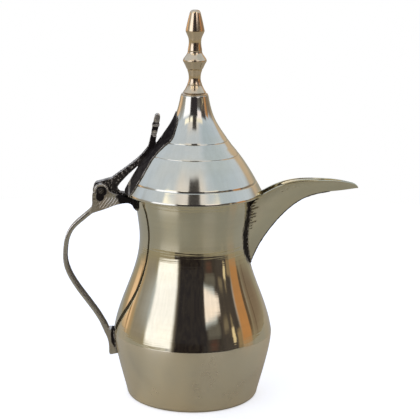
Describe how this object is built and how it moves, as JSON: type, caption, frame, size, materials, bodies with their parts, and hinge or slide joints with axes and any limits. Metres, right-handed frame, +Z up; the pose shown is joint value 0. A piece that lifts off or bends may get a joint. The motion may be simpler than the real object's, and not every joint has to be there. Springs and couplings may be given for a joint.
{
  "type": "coffee pot",
  "caption": "Brass dallah coffee pot with a waisted body, open beaked spout, strap handle and a hinged conical lid with a turned finial.",
  "frame": {"origin": "centre of the base where it rests on the table", "axes": "+Z up along the vessel's axis, +X towards the spout, -X towards the handle"},
  "size_m": [0.2116, 0.1148, 0.2798],
  "materials": {
    "vessel_brass": "polished sheet with fine turning marks and light tarnish",
    "lid_brass": "bright polish with turned grooves",
    "spout_brass": "satin polish, chased strokes at the root",
    "finial_brass": "turned and polished",
    "cast_brass": "dull cast brass, dark in the recesses",
    "dark_cast_brass": "dark patinated casting, worn bright on its edges",
    "pin_brass": "plain drawn brass"
  },
  "bodies": {
    "pot": {"base_plate": "vessel_brass", "lower_bowl": "vessel_brass", "upper_body": "vessel_brass", "mouth_ring": "vessel_brass", "spout_left_half": "spout_brass", "spout_right_half": "spout_brass", "handle": "cast_brass", "hinge_pin": "pin_brass"},
    "lid": {"lid_bracket": "dark_cast_brass", "lid_shell": "lid_brass", "lid_bezel": "vessel_brass", "finial_base": "finial_brass", "finial_spool": "finial_brass", "finial_bead": "finial_brass", "finial_tip": "finial_brass", "finial_stud": "pin_brass", "finial_washer": "pin_brass", "finial_nut": "pin_brass"}
  },
  "joints": [
    {"name": "lid_hinge", "type": "hinge", "parent": "pot", "child": "lid", "pos_m": [-0.066, 0, 0.1515], "axis": [0, -1, 0], "range_deg": [0, 100]}
  ]
}
